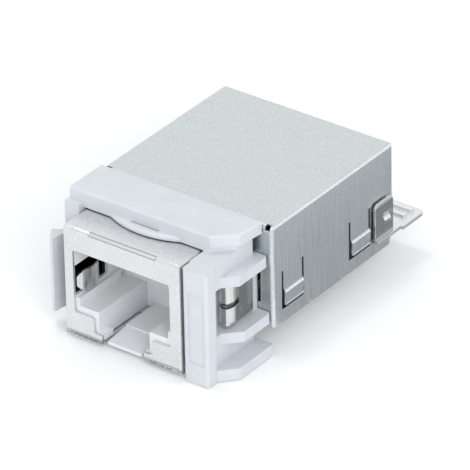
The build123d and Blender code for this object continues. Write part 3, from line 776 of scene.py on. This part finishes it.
# %% A grid of blades
first_middle = (blade_low + blade_high) / 2
last_middle = sum(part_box("idc_8"), Vector()) / 2
spread = last_middle - first_middle
middle = (first_middle + last_middle) / 2
grid, grid_in, grid_out = geometry_tree(
    "blade_grid",
    {
        "Columns": ("NodeSocketInt", 4),
        "Rows": ("NodeSocketInt", 2),
        "Width": ("NodeSocketFloat", spread.x),
        "Depth": ("NodeSocketFloat", spread.y),
        "Centre": ("NodeSocketVector", (middle.x, middle.y, 0.0)),
        "Finish": ("NodeSocketMaterial", finishes["terminal_metal"]),
    },
)
field = add_node(
    grid,
    "GeometryNodeMeshGrid",
    {
        "Size X": grid_in["Width"],
        "Size Y": grid_in["Depth"],
        "Vertices X": grid_in["Columns"],
        "Vertices Y": grid_in["Rows"],
    },
)
shifted = add_node(
    grid,
    "GeometryNodeTransform",
    {"Geometry": field.outputs["Mesh"], "Translation": grid_in["Centre"]},
)
repeated = add_node(
    grid,
    "GeometryNodeInstanceOnPoints",
    {"Points": shifted.outputs[0], "Instance": grid_in["Geometry"]},
)
dressed_result(grid, grid_out, repeated.outputs[0], grid_in["Finish"])
blade_set = baked_mesh(blades, grid, {"Finish": finishes["terminal_metal"]}, "blade_set")
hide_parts(*[f"idc_{number}" for number in range(1, 9)])
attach(blade_set, "root")

# %% [markdown]
# ## The rest of the CAD nodes
# The springs, the tray, the board, the terminal blocks and the wire guide are small or mostly
# hidden. Rounded copies would add triangles that no one sees, so they keep their CAD meshes
# and only take a finish.

# %% Finishes for the carried nodes
carried = {
    "plug_spring_left": "spring_metal",
    "plug_spring_right": "spring_metal",
    "panel_spring": "spring_metal",
    "base_tray": "tray_metal",
    "circuit_board": "board",
    "idc_block_front": "block_plastic",
    "idc_block_rear": "block_plastic",
    "wire_guide": "guide_plastic",
}
for node, finish in carried.items():
    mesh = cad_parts[node].data
    mesh.materials.clear()
    mesh.materials.append(finishes[finish])
print("nodes carried over:", len(carried))

# %% [markdown]
# ## The floor
# The jack lies on white paper. Lamps that lit the paper to full white would wash out the pale
# jack. So the floor is an ordinary white that takes the shadow, with a little light of its own
# for the rays by which the camera, a mirror or clear plastic sees it.

# %% Floor
def seen_directly(tree):
    """1 for the rays by which the camera, a mirror or clear plastic sees the background."""
    rays = add_node(tree, "ShaderNodeLightPath").outputs
    straight = calculate(tree, "MAXIMUM", rays["Is Camera Ray"], rays["Is Transmission Ray"])
    return calculate(tree, "MAXIMUM", straight, rays["Is Glossy Ray"])


half_side = 2.0
own_light = 0.08
gap_under_part = 0.1 * mm
white = (1.0, 1.0, 1.0, 1.0)
paper_white = (0.9, 0.9, 0.9, 1.0)
floor_corners = [(x * half_side, y * half_side, 0) for x, y in ((-1, -1), (1, -1), (1, 1), (-1, 1))]
floor_mesh = bpy.data.meshes.new("floor")
floor_mesh.from_pydata(floor_corners, [], [(0, 1, 2, 3)])
floor = bpy.data.objects.new("floor", floor_mesh)
bpy.context.scene.collection.objects.link(floor)
floor.location.z = cad_low.z - gap_under_part
floor_finish, tree, shader = start_material("floor_white", Roughness=0.9)
shader.inputs["Base Color"].default_value = paper_white
shader.inputs["Emission Color"].default_value = white
lift = calculate(tree, "MULTIPLY", seen_directly(tree), own_light)
tree.links.new(lift, shader.inputs["Emission Strength"])
floor_mesh.materials.append(floor_finish)
print("floor at z mm:", round(floor.location.z / mm, 2))

# %% [markdown]
# ## A grey card for the metal
# Photographers stand a grey card beside bright metal, so that its sides mirror something
# darker than the white floor and its form reads. A darker metal would do that too, but it
# would darken the top as well. This card lies low on the right, is seen only in reflections,
# and glows a plain grey, so that no lamp changes it.

# %% Grey card
card_corners = [(8.6, 12, -6.2), (8.6, 60, -6.2), (30, 75, -3), (30, 12, -3)]
card_grey = (0.46, 0.4738, 0.483, 1.0)
card_mesh = bpy.data.meshes.new("side_card")
card_mesh.from_pydata([tuple(v * mm for v in corner) for corner in card_corners], [], [(0, 1, 2, 3)])
card = bpy.data.objects.new("side_card", card_mesh)
bpy.context.scene.collection.objects.link(card)
card_finish, tree, shader = start_material("side_card", Roughness=1.0)
shader.inputs["Base Color"].default_value = (0.0, 0.0, 0.0, 1.0)
shader.inputs["Emission Color"].default_value = card_grey
shader.inputs["Emission Strength"].default_value = 1.0
card_mesh.materials.append(card_finish)
card.visible_camera = False
card.visible_diffuse = False
card.visible_shadow = False
card.visible_transmission = False
print("grey card corners in mm:", card_corners)

# %% [markdown]
# ## Light from all round
# A studio's white walls light the jack evenly. Modelled walls would do, but the camera would
# have to stand among them. The world does it with one very pale grey, and is pure white where
# it is seen directly, as the background.

# %% World light
room_light = (0.79, 0.795, 0.805, 1.0)
world = bpy.data.worlds.new("soft_room")
bpy.context.scene.world = world
world.use_nodes = True
tree = world.node_tree
background = tree.nodes["Background"]
lit = mix_colour(tree, seen_directly(tree), room_light, white)
tree.links.new(lit, background.inputs["Color"])
background.inputs["Strength"].default_value = 1.0
print("room light:", room_light[:3])

# %% [markdown]
# ## Lamps
# Even light alone shows no form. A small lamp above gives the shadow its edge, and two larger
# ones fill the front and the right side. Metal doesn't mirror those two, so that no side of
# the box flares from any view. A sun lamp would need no place, but its shadow is too hard for
# a studio.

# %% Lamps
lamps_aim_at = Vector((0, 0.01, 0))


def soft_lamp(name, position, size, power, mirrored=True):
    lamp = bpy.data.lights.new(name, "AREA")
    lamp.shape = "DISK"
    lamp.size = size
    lamp.energy = power
    holder = bpy.data.objects.new(name, lamp)
    bpy.context.scene.collection.objects.link(holder)
    holder.location = position
    holder.visible_glossy = mirrored
    holder.rotation_euler = (lamps_aim_at - Vector(position)).to_track_quat("-Z", "Y").to_euler()


soft_lamp("key_lamp", (-0.07, 0.02, 0.39), size=0.08, power=0.2)
soft_lamp("front_fill", (0.10, -0.38, 0.05), size=0.3, power=0.2, mirrored=False)
soft_lamp("side_fill", (0.27, -0.20, 0.23), size=0.25, power=0.62, mirrored=False)

# %% [markdown]
# ## Camera
# The jack was photographed from the right and above through a very long lens: its parallel
# edges hardly converge. A camera without perspective would come close, but a long lens a good
# way off matches the edges better. The place and the angles were worked out from those edges.

# %% Camera
camera_place = (0.28777, -0.36311, 0.28242)
camera_angles = (59.2634, 1.0302, 36.3783)
camera = bpy.data.cameras.new("camera")
camera.lens = 420.2
camera.sensor_width = 36
camera.clip_start = 0.01
camera.clip_end = 10
viewer = bpy.data.objects.new("camera", camera)
bpy.context.scene.collection.objects.link(viewer)
viewer.location = camera_place
viewer.rotation_euler = [math.radians(angle) for angle in camera_angles]
bpy.context.scene.camera = viewer
bpy.context.scene.view_settings.view_transform = "Standard"
print("camera lens in mm:", camera.lens)
